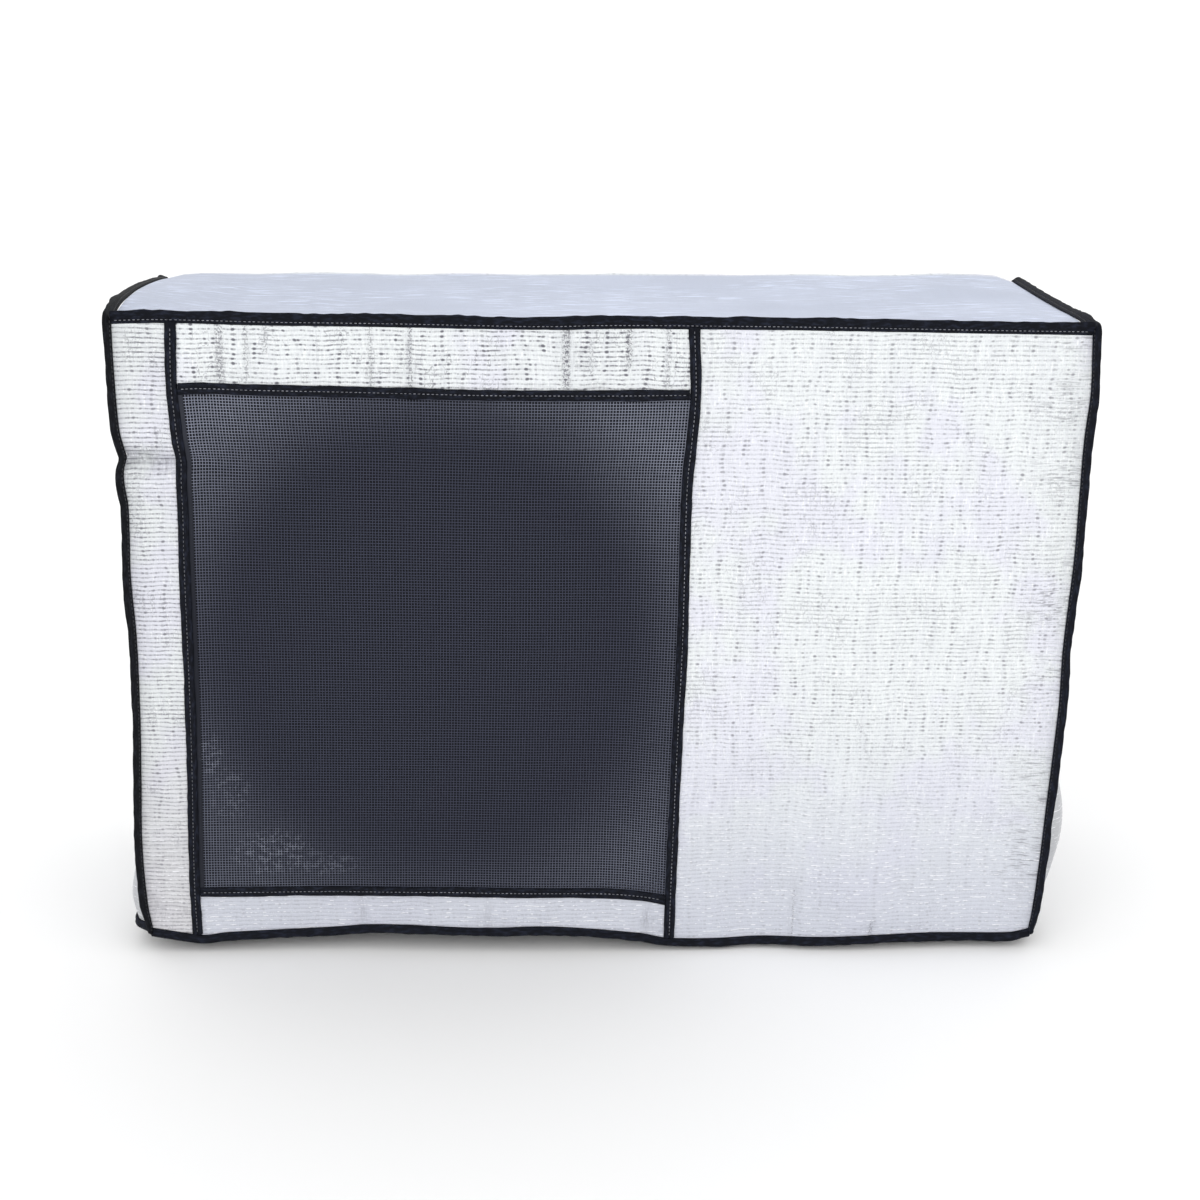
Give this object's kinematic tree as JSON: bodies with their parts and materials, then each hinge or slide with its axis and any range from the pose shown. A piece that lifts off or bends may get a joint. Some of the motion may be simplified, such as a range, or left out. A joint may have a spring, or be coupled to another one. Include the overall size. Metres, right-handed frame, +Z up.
{
  "type": "air conditioner cover",
  "caption": "Fitted silver cloth cover with a net window and black taped seams for the outdoor box of an air conditioner, open at the bottom.",
  "frame": {"origin": "middle of the level on which the top panel lies on what it covers", "axes": "+X along the width, to the right seen from the front, +Y from the front to the back, +Z up"},
  "size_m": [0.8751, 0.2916, 0.5977],
  "materials": {
    "silver_cloth": "silver film strips knitted side by side, bright and slightly crinkled",
    "net": "fine square net, matt and dusty",
    "tape": "woven black tape, matt, with stitches"
  },
  "bodies": {
    "root": {"top_back_panel": "silver_cloth", "side_left_panel": "silver_cloth", "side_right_panel": "silver_cloth", "front_left_strip": "silver_cloth", "upper_strip": "silver_cloth", "lower_strip": "silver_cloth", "front_right_panel": "silver_cloth", "net_window": "net", "left_tape": "tape", "right_tape": "tape", "front_top_tape": "tape", "seam_left_tape": "tape", "seam_mid_tape": "tape", "net_top_tape": "tape", "net_bottom_tape": "tape", "hem_tape": "tape"}
  },
  "joints": []
}
